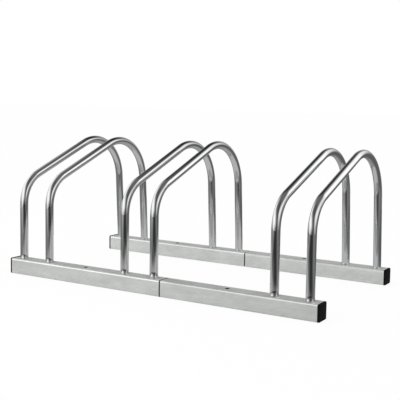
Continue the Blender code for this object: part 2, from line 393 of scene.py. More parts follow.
@dataclass(frozen=True)
class BrightTube:
    """Bright plating on round tube, with faint lines along the tube."""

    name: str
    color: Triple = (0.76, 0.765, 0.765)
    roughness: float = 0.025
    haze: float = 0.02
    line_stretch: Triple = (90.0, 9.0, 1.0)
    patch_scale: float = 30.0
    patch_tone: float = 0.012
    scuff_scale: float = 1.7
    scuff_tone: float = -0.03
    relief: tuple[float, float] = (0.00001, 0.06)

    def build(self, effects: Effects) -> Material:
        """Builds the material.

        Args:
            effects: the shared groups.

        Returns:
            The material.
        """
        sheet = Coat(self.name, effects)
        along = sheet.stretched(sheet.along_tube, self.line_stretch)
        lines = sheet.noise(along, 4.0, 0.6)
        patches = sheet.cloud(sheet.place, self.patch_scale)
        scuffs = sheet.scuffs(along, self.scuff_scale)
        tone = sheet.math("MULTIPLY_ADD", patches, self.patch_tone, 1.0)
        tone = sheet.math("MULTIPLY_ADD", scuffs, self.scuff_tone, tone)
        rough = self.roughness
        for part, share in ((patches, 0.3), (scuffs, 1.0), (lines, 0.5)):
            rough = sheet.math("MULTIPLY_ADD", part, self.haze * share, rough)
        return sheet.lay(self.color, tone, rough, 1.0, lines, *self.relief)


@dataclass(frozen=True)
class MouldedPlastic:
    """Black plastic with a fine moulded grain."""

    name: str
    color: Triple = (0.006, 0.006, 0.0065)
    roughness: float = 0.55
    shine: float = 0.05
    patch_scale: float = 60.0
    patch_tone: float = 0.10
    patch_roughness: float = 0.04
    scuff_scale: float = 210.0
    scuff_tone: float = 0.45
    scuff_roughness: float = 0.08
    grain_scale: float = 1600.0
    relief: tuple[float, float] = (0.00008, 0.4)

    def build(self, effects: Effects) -> Material:
        """Builds the material.

        Args:
            effects: the shared groups.

        Returns:
            The material.
        """
        sheet = Coat(self.name, effects)
        patches = sheet.cloud(sheet.place, self.patch_scale)
        scuffs = sheet.scuffs(sheet.place, self.scuff_scale)
        tone = sheet.math("MULTIPLY_ADD", patches, self.patch_tone, 1.0)
        tone = sheet.math("MULTIPLY_ADD", scuffs, self.scuff_tone, tone)
        rough = sheet.math("MULTIPLY_ADD", patches, self.patch_roughness, self.roughness)
        rough = sheet.math("MULTIPLY_ADD", scuffs, self.scuff_roughness, rough)
        sheet.feed(sheet.shader, {"Specular IOR Level": self.shine})
        return sheet.lay(self.color, tone, rough, 0.0, sheet.grain(self.grain_scale),
                         *self.relief)


@dataclass(frozen=True)
class ZincHardware:
    """Zinc plating on turned steel fasteners."""

    name: str
    color: Triple = (0.62, 0.62, 0.60)
    roughness: float = 0.28
    patch_scale: float = 240.0
    patch_amount: float = 0.06
    grain_scale: float = 2600.0
    relief: tuple[float, float] = (0.00003, 0.25)

    def build(self, effects: Effects) -> Material:
        """Builds the material.

        Args:
            effects: the shared groups.

        Returns:
            The material.
        """
        sheet = Coat(self.name, effects)
        patches = sheet.math("MULTIPLY", sheet.cloud(sheet.place, self.patch_scale),
                             self.patch_amount)
        tone = sheet.math("ADD", patches, 1.0)
        rough = sheet.math("ADD", patches, self.roughness)
        return sheet.lay(self.color, tone, rough, 1.0, sheet.grain(self.grain_scale),
                         *self.relief)


# Mesh helpers


def shade_by_angle(mesh: BMesh) -> None:
    """Shades a mesh smooth with its true edges kept sharp.

    Args:
        mesh: the mesh.
    """
    for face in mesh.faces:
        face.smooth = True
    for edge in mesh.edges:
        edge.smooth = edge.calc_face_angle(math.pi) < SHARP


def link_object(name: str, data: bpy.types.ID) -> Object:
    """Makes an object and puts it into the scene.

    Args:
        name: its name.
        data: its mesh, lamp or camera.

    Returns:
        The object.
    """
    thing = bpy.data.objects.new(name, data)
    bpy.context.scene.collection.objects.link(thing)
    return thing


def make_piece(name: str, mesh: BMesh, finish: Material | None = None) -> Object:
    """Turns a mesh into an object at the origin.

    Args:
        name: the object's name.
        mesh: the mesh, which is used up.
        finish: its material.

    Returns:
        The object.
    """
    shade_by_angle(mesh)
    data = bpy.data.meshes.new(name)
    mesh.to_mesh(data)
    mesh.free()
    if finish is not None:
        data.materials.append(finish)
    return link_object(name, data)


def carved_piece(name: str, body: BMesh, finish: Material,
                 tools: Iterable[tuple[BMesh, Carve]]) -> Object:
    """Makes a piece, adds helper bodies to it and cuts others from it.

    Args:
        name: the piece's name.
        body: its main body.
        finish: its material.
        tools: each helper body and what it does.

    Returns:
        The piece.
    """
    piece = make_piece(name, body, finish)
    helpers = []
    for index, (tool, action) in enumerate(tools):
        helper = make_piece("%s_helper_%d" % (name, index), tool)
        modifier = piece.modifiers.new(helper.name, "BOOLEAN")
        modifier.operation = action.value
        modifier.solver = "EXACT"
        modifier.object = helper
        helpers.append(helper)
    graph = bpy.context.evaluated_depsgraph_get()
    result = bpy.data.meshes.new_from_object(piece.evaluated_get(graph))
    piece.modifiers.clear()
    piece.data = result
    for helper in helpers:
        bpy.data.objects.remove(helper, do_unlink=True)
    mesh = bmesh.new()
    mesh.from_mesh(result)
    bmesh.ops.remove_doubles(mesh, verts=mesh.verts, dist=NEAR)
    bmesh.ops.dissolve_degenerate(mesh, edges=mesh.edges, dist=THIN)
    shade_by_angle(mesh)
    mesh.to_mesh(result)
    mesh.free()
    result.materials.clear()
    result.materials.append(finish)
    return piece


def enter(piece: Object, node: str) -> None:
    """Hands a finished piece to the frame and reports it.

    Args:
        piece: the piece.
        node: the CAD node that it stands for.
    """
    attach(piece, BODY)
    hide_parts(node)
    LOG.info("%s: %d faces, stands for %s", piece.name, len(piece.data.polygons), node)


def shift(mesh: BMesh, move: Sequence[float]) -> None:
    """Moves a whole mesh."""
    bmesh.ops.translate(mesh, vec=move, verts=mesh.verts)


def round_edges(mesh: BMesh, edges: list[BMEdge], radius: float, segments: int) -> None:
    """Rounds edges, or breaks them flat with one segment."""
    bmesh.ops.bevel(mesh, geom=edges, offset=radius, offset_type="OFFSET", affect="EDGES",
                    segments=segments, profile=0.5, material=-1)


def edges_across(mesh: BMesh, *places: float) -> list[BMEdge]:
    """The edges that lie across X at one of some places."""
    return [edge for edge in mesh.edges
            if any(all(abs(v.co.x - x) < NEAR for v in edge.verts) for x in places)]


def rounded_bar(length: float, size: float, corner: float, segments: int) -> BMesh:
    """A bar along X with rounded long edges, centred at the origin.

    Args:
        length: its length.
        size: its width and height.
        corner: radius of its long edges.
        segments: faces across each rounded edge.

    Returns:
        The mesh.
    """
    mesh = bmesh.new()
    bmesh.ops.create_cube(mesh, size=1.0)
    bmesh.ops.scale(mesh, vec=(length, size, size), verts=mesh.verts)
    long_edges = [e for e in mesh.edges if abs(e.verts[0].co.x - e.verts[1].co.x) > length / 2]
    round_edges(mesh, long_edges, corner, segments)
    return mesh


def turned(profile: Sequence[tuple[float, float]], segments: int, at: Vector) -> BMesh:
    """A solid of revolution about a vertical axis.

    Args:
        profile: radius and height pairs from axis to axis.
        segments: steps around the axis.
        at: where the profile's zero point goes.

    Returns:
        The mesh.
    """
    mesh = bmesh.new()
    points = [mesh.verts.new((radius, 0.0, height)) for radius, height in profile]
    edges = [mesh.edges.new(pair) for pair in zip(points, points[1:])]
    bmesh.ops.spin(mesh, geom=points + edges, cent=(0, 0, 0), axis=(0, 0, 1), dvec=(0, 0, 0),
                   angle=math.tau, steps=segments, use_merge=True, use_normal_flip=False,
                   use_duplicate=False)
    bmesh.ops.remove_doubles(mesh, verts=mesh.verts, dist=NEAR)
    bmesh.ops.recalc_face_normals(mesh, faces=mesh.faces)
    shift(mesh, at)
    return mesh


def merged(bodies: Iterable[BMesh]) -> BMesh:
    """Puts several separate bodies into one mesh.

    Args:
        bodies: the bodies, which are used up.

    Returns:
        The mesh.
    """
    result = bmesh.new()
    for body in bodies:
        data = bpy.data.meshes.new("passing")
        body.to_mesh(data)
        body.free()
        result.from_mesh(data)
        bpy.data.meshes.remove(data)
    return result


# Sub-assemblies


@dataclass
class Layout:
    """Sizes that several sub-assemblies share."""

    rail_size: float = 0.032
    rail_wall: float = 0.0012
    rail_corner: float = 0.0030
    rail_spacing: float = 0.338
    anchor_offset: float = 0.1638
    anchor_diameter: float = 0.0085
    tube_diameter: float = 0.0166
    tube_wall: float = 0.0010
    fit_gap: float = 0.0003
    shank_diameter: float = 0.005
    head_diameter: float = 0.010
    head_sink: float = 0.0003
    dimple_crown: float = 0.0009

    def row_y(self, row: str) -> float:
        """Centre line of a rail: negative Y in front."""
        return self.rail_spacing / 2 * (1.0 if row == "rear" else -1.0)

    def hoop_x(self, number: int) -> float:
        """Middle of a hoop, counted from 1 at the left, taken from its CAD solid."""
        low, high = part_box("hoop_%d" % number)
        return (low.x + high.x) / 2

    def clearance_radius(self) -> float:
        """Radius of the hole around a screw's shank."""
        return self.shank_diameter / 2 + self.fit_gap

    def countersink_radius(self) -> float:
        """Radius of a countersink at the underside of the rail."""
        return self.head_diameter / 2 + self.head_sink + self.fit_gap * math.sqrt(2.0)

    def dimple_top(self) -> float:
        """Height of a dimple's crown above the underside."""
        return self.countersink_radius() - self.clearance_radius() + self.dimple_crown


@dataclass
class Rails:
    """The four sections of square tube."""

    layout: Layout
    corner_segments: int = 8
    hole_segments: int = 64
    rim: float = 0.0002
    end_chamfer: float = 0.0002
    overcut: float = 0.001
    countersink_overcut: float = 0.0005
    hollow_overcut: float = 0.01
    leg_hole_depth: float = 0.004
    anchor_overcut: float = 0.002

    def _dimple(self, at: Vector) -> BMesh:
        """The raised cone of metal around a screw.

        Args:
            at: the screw's axis at the underside.

        Returns:
            The cone.
        """
        base = self.layout.countersink_radius() + self.layout.rail_wall * math.sqrt(2.0)
        low = self.layout.rail_wall / 2
        top = self.layout.dimple_top()
        profile = ((0.0, low), (base - low, low), (base - top, top), (0.0, top))
        return turned(profile, self.hole_segments, at)

    def _countersink(self, at: Vector) -> BMesh:
        """The cavity for a screw.

        Args:
            at: the screw's axis at the underside.

        Returns:
            The cavity.
        """
        over = self.countersink_overcut
        mouth = self.layout.countersink_radius()
        clearance = self.layout.clearance_radius()
        top = self.layout.dimple_top() + over
        profile = ((0.0, -over), (mouth + over, -over), (clearance, mouth - clearance),
                   (clearance, top), (0.0, top))
        return turned(profile, self.hole_segments, at)

    def _hole(self, radius: float, bottom: float, at: Vector) -> BMesh:
        """A round hole with a small broken edge at the rail's upper face.

        Args:
            radius: the hole's radius.
            bottom: lowest height of the cutting body.
            at: a point of its axis at height 0.

        Returns:
            The cutting body.
        """
        face = self.layout.rail_size
        top = face + self.overcut
        profile = ((0.0, bottom), (radius, bottom), (radius, face - self.rim),
                   (radius + self.rim + self.overcut, top), (0.0, top))
        return turned(profile, self.hole_segments, at)

    def _tools(self, row: str, start: float, end: float, hollow: BMesh
               ) -> list[tuple[BMesh, Carve]]:
        """The bodies that shape one section.

        Args:
            row: front or rear.
            start: left end of the section.
            end: right end of the section.
            hollow: the inside of the tube.

        Returns:
            Each body and what it does.
        """
        layout = self.layout
        y = layout.row_y(row)
        feet = [Vector((x, y, 0.0)) for x in map(layout.hoop_x, HOOPS) if start < x < end]
        anchor = Vector((math.copysign(layout.anchor_offset, start + end), y, 0.0))
        leg_radius = layout.tube_diameter / 2 + layout.fit_gap
        cuts = [self._countersink(at) for at in feet]
        cuts += [self._hole(leg_radius, layout.rail_size - self.leg_hole_depth, at)
                 for at in feet]
        cuts.append(self._hole(layout.anchor_diameter / 2, -self.anchor_overcut, anchor))
        return [
            (hollow, Carve.CUT),
            (merged(self._dimple(at) for at in feet), Carve.ADD),
            (merged(cuts), Carve.CUT),
        ]

    def build(self, finishes: dict[str, Material]) -> None:
        """Builds and dresses the sections.

        Args:
            finishes: the material of each section, by node name.
        """
        layout = self.layout
        for node, finish in finishes.items():
            row, _, side = node.split("_")
            low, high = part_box(node)
            middle = Vector(((low.x + high.x) / 2, layout.row_y(row), layout.rail_size / 2))
            length = high.x - low.x
            outer = rounded_bar(length, layout.rail_size, layout.rail_corner,
                                self.corner_segments)
            round_edges(outer, edges_across(outer, -length / 2, length / 2),
                        self.end_chamfer, 1)
            hollow = rounded_bar(length + self.hollow_overcut,
                                 layout.rail_size - 2 * layout.rail_wall,
                                 layout.rail_corner - layout.rail_wall, self.corner_segments)
            for body in (outer, hollow):
                shift(body, middle)
            piece = carved_piece("rail_%s_%s" % (row, side), outer, finish,
                                 self._tools(row, low.x, high.x, hollow))
            enter(piece, node)


@dataclass
class Hoops:
    """The six bent tubes."""

    layout: Layout
    shoulder_height: float = 0.1926
    shoulder_radius: float = 0.065
    apex_height: float = 0.3139
    apex_inset: float = 0.0177
    apex_radius: float = 0.097
    spring_height: float = 0.012
    spring_radius: float = 0.300
    sides: int = 48
    bend_step: float = math.radians(2.5)
    straight_step: float = 0.02
    bead_height: float = 0.0014
    bead_reach: float = 0.0003
    bead_bulge: float = 0.6
    bead_steps: int = 8

    def _corners(self) -> list[tuple[Vector, float]]:
        """The path's corner points in (Y, Z), each with its bend radius.

        Returns:
            Front foot, shoulder, apex, spring point and rear foot.
        """
        layout = self.layout
        half = layout.rail_spacing / 2
        floor = layout.rail_wall + layout.fit_gap
        return [
            (Vector((-half, floor)), 0.0),
            (Vector((-half, self.shoulder_height)), self.shoulder_radius),
            (Vector((half - self.apex_inset, self.apex_height)), self.apex_radius),
            (Vector((half, layout.rail_size + self.spring_height)), self.spring_radius),
            (Vector((half, floor)), 0.0),
        ]

    @staticmethod
    def _grow(mesh: BMesh, ring: list[BMEdge], move: Vector, steps: int) -> list[BMEdge]:
        """Extrudes the open end of the tube straight on.

        Args:
            mesh: the tube.
            ring: edges of its open end.
            move: the whole move.
            steps: how many lengths it is made in.

        Returns:
            Edges of the new open end.
        """
        for _ in range(steps):
            grown = bmesh.ops.extrude_edge_only(mesh, edges=ring)["geom"]
            points = [g for g in grown if isinstance(g, BMVert)]
            bmesh.ops.translate(mesh, vec=move / steps, verts=points)
            new = set(points)
            ring = [g for g in grown if isinstance(g, BMEdge) and new.issuperset(g.verts)]
        return ring

    def _tube(self) -> tuple[BMesh, list[tuple[Vector, float]]]:
        """Runs a circle along the path: straight lengths extruded, bends spun.

        Returns:
            The open tube about X 0, and points of its centre line with the
            length run so far.
        """
        corners = self._corners()
        here = corners[0][0]
        mesh = bmesh.new()
        bmesh.ops.create_circle(mesh, cap_ends=False, radius=self.layout.tube_diameter / 2,
                                segments=self.sides)
        shift(mesh, (0.0, here.x, here.y))
        ring = list(mesh.edges)
        run = 0.0
        line = [(here, run)]
        for index in range(1, len(corners)):
            corner, radius = corners[index]
            inward = (corner - corners[index - 1][0]).normalized()
            turn = 0.0
            if radius:
                outward = (corners[index + 1][0] - corner).normalized()
                turn = inward.angle_signed(outward)
            stop = corner - inward * radius * math.tan(abs(turn) / 2)
            move = stop - here
            steps = max(1, round(move.length / self.straight_step))
            ring = self._grow(mesh, ring, Vector((0.0, move.x, move.y)), steps)
            run += move.length
            here = stop
            line.append((here, run))
            if not radius:
                continue
            side = Vector((inward.y, -inward.x)) * (1.0 if turn > 0 else -1.0)
            centre = here + side * radius
            steps = max(2, round(abs(turn) / self.bend_step))
            points = list({v for e in ring for v in e.verts})
            spun = bmesh.ops.spin(mesh, geom=points + ring, cent=(0.0, centre.x, centre.y),
                                  axis=(1, 0, 0), dvec=(0, 0, 0), angle=-turn, steps=steps,
                                  use_merge=False, use_normal_flip=False, use_duplicate=False)
            ring = [g for g in spun["geom_last"] if isinstance(g, BMEdge)]
            bend = radius * abs(turn)
            for step in range(1, steps + 1):
                turned_by = Matrix.Rotation(-turn * step / steps, 2)
                line.append((centre + turned_by @ (here - centre), run + bend * step / steps))
            run += bend
            here = line[-1][0]
        return mesh, line

    def _lift(self, number: int) -> float:
        """How much higher than the others a hoop stands, taken from its CAD solid."""
        low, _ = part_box("hoop_%d" % number)
        return low.z - self.layout.rail_wall - self.layout.fit_gap

    def _press_beads(self, mesh: BMesh) -> None:
        """Swells each leg into a small bead where it stands on the rail.

        Args:
            mesh: the tube about X 0.
        """
        low = self.layout.rail_size + self.layout.fit_gap
        shares = [step / self.bead_steps for step in range(self.bead_steps + 1)]
        for share in shares:
            bmesh.ops.bisect_plane(mesh, geom=mesh.verts[:] + mesh.edges[:] + mesh.faces[:],
                                   plane_co=(0, 0, low + self.bead_height * share),
                                   plane_no=(0, 0, 1), dist=THIN)
        for share in shares:
            height = low + self.bead_height * share
            swell = self.bead_reach * math.sin(math.pi * share ** self.bead_bulge)
            factor = 1.0 + swell / (self.layout.tube_diameter / 2)
            for row in ROWS:
                axis = Vector((0.0, self.layout.row_y(row), height))
                ring = [v for v in mesh.verts if abs(v.co.z - height) < NEAR
                        and (v.co - axis).length < self.layout.tube_diameter]
                bmesh.ops.scale(mesh, vec=(factor, factor, 1.0), verts=ring,
                                space=Matrix.Translation(-axis))

    def build(self, finishes: Sequence[Material]) -> None:
        """Builds and dresses the hoops.

        Args:
            finishes: the material of each hoop, from the left.
        """
        for number, finish in zip(HOOPS, finishes):
            mesh, line = self._tube()
            self._press_beads(mesh)
            lay_tube_map(mesh, line)
            bmesh.ops.recalc_face_normals(mesh, faces=mesh.faces)
            shift(mesh, (self.layout.hoop_x(number), 0.0, self._lift(number)))
            piece = make_piece("bent_hoop_%d" % number, mesh, finish)
            wall = piece.modifiers.new("wall", "SOLIDIFY")
            wall.thickness = self.layout.tube_wall
            wall.offset = -1.0
            enter(piece, "hoop_%d" % number)


def lay_tube_map(mesh: BMesh, line: list[tuple[Vector, float]]) -> None:
    """Gives a tube a UV map: turns around it, and metres along it.

    Args:
        mesh: the tube about X 0.
        line: points of its centre line with the length run so far.
    """
    layer = mesh.loops.layers.uv.new("tube")
    places: dict[BMVert, tuple[float, float]] = {}
    for vertex in mesh.verts:
        spot = Vector((vertex.co.y, vertex.co.z))
        best = (math.inf, 0.0, 0.0)
        for (a, run_a), (b, run_b) in zip(line, line[1:]):
            way = b - a
            share = min(1.0, max(0.0, (spot - a).dot(way) / max(way.length_squared, 1e-12)))
            aside = spot - (a + way * share)
            if aside.length_squared < best[0]:
                offset = aside.dot(Vector((-way.y, way.x)).normalized())
                best = (aside.length_squared, run_a + (run_b - run_a) * share, offset)
        angle = math.atan2(best[2], vertex.co.x)
        places[vertex] = (angle / math.tau + 0.5, best[1])
    for face in mesh.faces:
        turns = [places[loop.vert][0] for loop in face.loops]
        wraps = max(turns) - min(turns) > 0.5
        for loop in face.loops:
            turn, along = places[loop.vert]
            loop[layer].uv = (turn + 1.0 if wraps and turn < 0.5 else turn, along)


@dataclass
class PlasticFittings:
    """The four end caps and the two connectors between rail sections."""

    layout: Layout
    flange: float = 0.0036
    flange_round: float = 0.0012
    flange_proud: float = 0.0008
    collar: float = 0.0020
    rear_collar_sunk: float = 0.0014
    cap_plug: float = 0.0105
    connector_plug: float = 0.0125
    plug_wall: float = 0.0022
    valley_corner: float = 0.0016
    barb: float = 0.0007
    barb_share: float = 0.55
    barb_corner: float = 0.0018
    barbs: int = 3
    overlap: float = 0.0002
    overcut: float = 0.002
    corner_segments: int = 8
    plug_segments: int = 4
    rim_segments: int = 4

    def _plate(self, thickness: float) -> BMesh:
        """A square plate across the rail, centred at the origin."""
        return rounded_bar(thickness, self.layout.rail_size, self.layout.rail_corner,
                           self.corner_segments)

    def _plug(self, length: float, sign: float, root: float) -> BMesh:
        """A hollow barbed plug along X.

        Args:
            length: its length.
            sign: the way it points along X.
            root: X of its root.

        Returns:
            The plug.
        """
        layout = self.layout
        length += self.overlap
        root -= sign * self.overlap
        crest = layout.rail_size - 2 * layout.rail_wall - 2 * layout.fit_gap
        valley = crest - 2 * self.barb
        pitch = length / self.barbs
        bodies = [rounded_bar(length, valley, self.valley_corner, self.plug_segments)]
        shift(bodies[0], (root + sign * length / 2, 0, 0))
        for index in range(self.barbs):
            barb = rounded_bar(pitch * self.barb_share, crest, self.barb_corner,
                               self.plug_segments)
            far = [v for v in barb.verts if v.co.x * sign > 0]
            bmesh.ops.scale(barb, vec=(1.0, valley / crest, valley / crest), verts=far)
            shift(barb, (root + sign * (index + 0.5) * pitch, 0, 0))
            bodies.append(barb)
        return merged(bodies)

    def _hollow(self, start: float, end: float) -> BMesh:
        """The hollow inside plugs between two places along X.

        Args:
            start: one end.
            end: the other end.

        Returns:
            The cutting body.
        """
        layout = self.layout
        wall = layout.rail_wall + layout.fit_gap + self.barb + self.plug_wall
        mesh = rounded_bar(abs(end - start), layout.rail_size - 2 * wall, 0.001, 2)
        shift(mesh, ((start + end) / 2, 0, 0))
        return mesh

    def _dress(self, name: str, node: str, x: float, row: str, finish: Material,
               bodies: Sequence[BMesh]) -> None:
        """Puts the bodies of a fitting in place, joins them and hands in the piece.

        Args:
            name: the piece's name.
            node: the CAD node that it stands for.
            x: where its origin goes along X.
            row: front or rear.
            finish: its material.
            bodies: its main body, then its plugs, and last its hollow.
        """
        for body in bodies:
            shift(body, (x, self.layout.row_y(row), self.layout.rail_size / 2))
        plate, *plugs, hollow = bodies
        tools = [(plug, Carve.ADD) for plug in plugs] + [(hollow, Carve.CUT)]
        enter(carved_piece(name, plate, finish, tools), node)

    def _build_cap(self, row: str, side: str, finish: Material) -> None:
        """Builds one end cap.

        Args:
            row: front or rear.
            side: left or right.
            finish: its material.
        """
        node = "%s_end_cap_%s" % (row, side)
        low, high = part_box(node)
        outward, face = (1.0, high.x) if side == "right" else (-1.0, low.x)
        plate = self._plate(self.flange)
        round_edges(plate, edges_across(plate, self.flange / 2), self.flange_round,
                    self.rim_segments)
        if side == "left":
            for vertex in plate.verts:
                if vertex.co.z > self.layout.rail_size / 4:
                    vertex.co.z += self.flange_proud
            bmesh.ops.rotate(plate, cent=(0, 0, 0), matrix=Matrix.Rotation(math.pi, 3, "Z"),
                             verts=plate.verts)
        root = face - outward * self.flange
        shift(plate, (face - outward * self.flange / 2, 0, 0))
        plug = self._plug(self.cap_plug, -outward, root)
        hollow = self._hollow(root, root - outward * (self.cap_plug + self.overcut))
        self._dress("end_cap_%s_%s" % (row, side), node, 0.0, row, finish,
                    (plate, plug, hollow))

    def _build_connector(self, row: str, finish: Material) -> None:
        """Builds one connector.

        Args:
            row: front or rear.
            finish: its material.
        """
        node = "%s_rail_connector" % row
        low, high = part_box(node)
        collar = self._plate(self.collar)
        if row == "rear":
            share = 1.0 - 2 * self.rear_collar_sunk / self.layout.rail_size
            bmesh.ops.scale(collar, vec=(1.0, share, share), verts=collar.verts)
        half = self.collar / 2
        reach = self.connector_plug + half + self.overcut
        plugs = [self._plug(self.connector_plug, sign, sign * half) for sign in (1.0, -1.0)]
        self._dress("connector_%s" % row, node, (low.x + high.x) / 2, row, finish,
                    (collar, *plugs, self._hollow(-reach, reach)))

    def build(self, finish: Material) -> None:
        """Builds and dresses the caps and connectors.

        Args:
            finish: their material.
        """
        for row in ROWS:
            for side in SIDES:
                self._build_cap(row, side, finish)
            self._build_connector(row, finish)


@dataclass
class Fasteners:
    """The twelve screws, and the finish of the twelve inserts."""

    layout: Layout
    length: float = 0.016
    tip_chamfer: float = 0.25
    socket_width: float = 0.003
    socket_depth: float = 0.0018
    socket_overcut: float = 0.001
    head_edge: float = 0.0002
    segments: int = 48

    def _screw(self, at: Vector) -> BMesh:
        """One screw, its head down.

        Args:
            at: its axis at the underside of the rail.

        Returns:
            The screw.
        """
        layout = self.layout
        shank = layout.shank_diameter / 2
        head = layout.head_diameter / 2
        sink = layout.head_sink
        tip = sink + self.length
        chamfer = shank * self.tip_chamfer
        profile = ((0.0, sink), (head - self.head_edge, sink), (head, sink + self.head_edge),
                   (shank, sink + head - shank), (shank, tip - chamfer),
                   (shank - chamfer, tip), (0.0, tip))
        return turned(profile, self.segments, at)

    def _socket(self, at: Vector) -> BMesh:
        """The six-sided recess in a head.

        Args:
            at: the screw's axis at the underside of the rail.

        Returns:
            The cutting body.
        """
        mesh = bmesh.new()
        radius = self.socket_width / 2 / math.cos(math.pi / 6)
        depth = self.socket_depth + self.socket_overcut
        bmesh.ops.create_cone(mesh, cap_ends=True, cap_tris=False, segments=6, radius1=radius,
                              radius2=radius, depth=depth)
        middle = self.layout.head_sink - self.socket_overcut + depth / 2
        shift(mesh, at + Vector((0.0, 0.0, middle)))
        return mesh

    def build(self, finish: Material) -> None:
        """Builds the screws and dresses the inserts.

        Args:
            finish: their material.
        """
        for row in ROWS:
            for number in HOOPS:
                at = Vector((self.layout.hoop_x(number), self.layout.row_y(row), 0.0))
                piece = carved_piece("socket_screw_%s_%d" % (row, number), self._screw(at),
                                     finish, [(self._socket(at), Carve.CUT)])
                enter(piece, "%s_screw_%d" % (row, number))
                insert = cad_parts["%s_insert_%d" % (row, number)]
                insert.data.materials.clear()
                insert.data.materials.append(finish)
                LOG.info("%s: CAD solid, new finish", insert.name)


# Studio


@dataclass(frozen=True)
class SoftPanel:
    """A soft-edged area of the studio dome, lit or dark.

    Angles in degrees: azimuth 0 is the front, +90 the right end of the rails.
    """

    azimuth: float
    elevation: float
    half_width: float
    half_height: float
    soft_width: float
    soft_height: float
    lean: float
    level: float

    def mask(self, sheet: NodeSheet, azimuth: NodeSocket, elevation: NodeSocket) -> NodeSocket:
        """How far a direction lies inside the panel.

        Args:
            sheet: the dome's nodes.
            azimuth: its azimuth in degrees.
            elevation: its elevation in degrees.

        Returns:
            From 0 outside to 1 inside.
        """
        rise = sheet.math("SUBTRACT", elevation, self.elevation)
        turn = sheet.math("SUBTRACT", azimuth, self.azimuth)
        turn = sheet.math("WRAP", turn, 180.0, -180.0)
        slip = -math.tan(math.radians(self.lean))
        aside = sheet.math("MULTIPLY_ADD", rise, slip, turn)
        return sheet.math("MULTIPLY", sheet.within(aside, self.half_width, self.soft_width),
                          sheet.within(rise, self.half_height, self.soft_height))


@dataclass(frozen=True)
class FloorPatch:
    """A soft-edged area of the floor, as reflections see it.

    Its sides run along X and Y before it is turned, in degrees about the vertical.
    """

    x: float
    y: float
    half_x: float
    half_y: float
    softness: float
    level: float
    turn: float

    def mask(self, sheet: NodeSheet, place: bpy.types.NodeOutputs) -> NodeSocket:
        """How far a place on the floor lies inside the patch.

        Args:
            sheet: the floor's nodes.
            place: the place's X and Y.

        Returns:
            From 0 outside to 1 inside.
        """
        turn = math.radians(self.turn)
        east = sheet.math("SUBTRACT", place["X"], self.x)
        north = sheet.math("SUBTRACT", place["Y"], self.y)
        sides = []
        for by_east, by_north, half in ((math.cos(turn), math.sin(turn), self.half_x),
                                        (-math.sin(turn), math.cos(turn), self.half_y)):
            away = sheet.math("MULTIPLY_ADD", east, by_east,
                              sheet.math("MULTIPLY", north, by_north))
            sides.append(sheet.within(away, half, half * self.softness))
        return sheet.math("MULTIPLY", *sides)


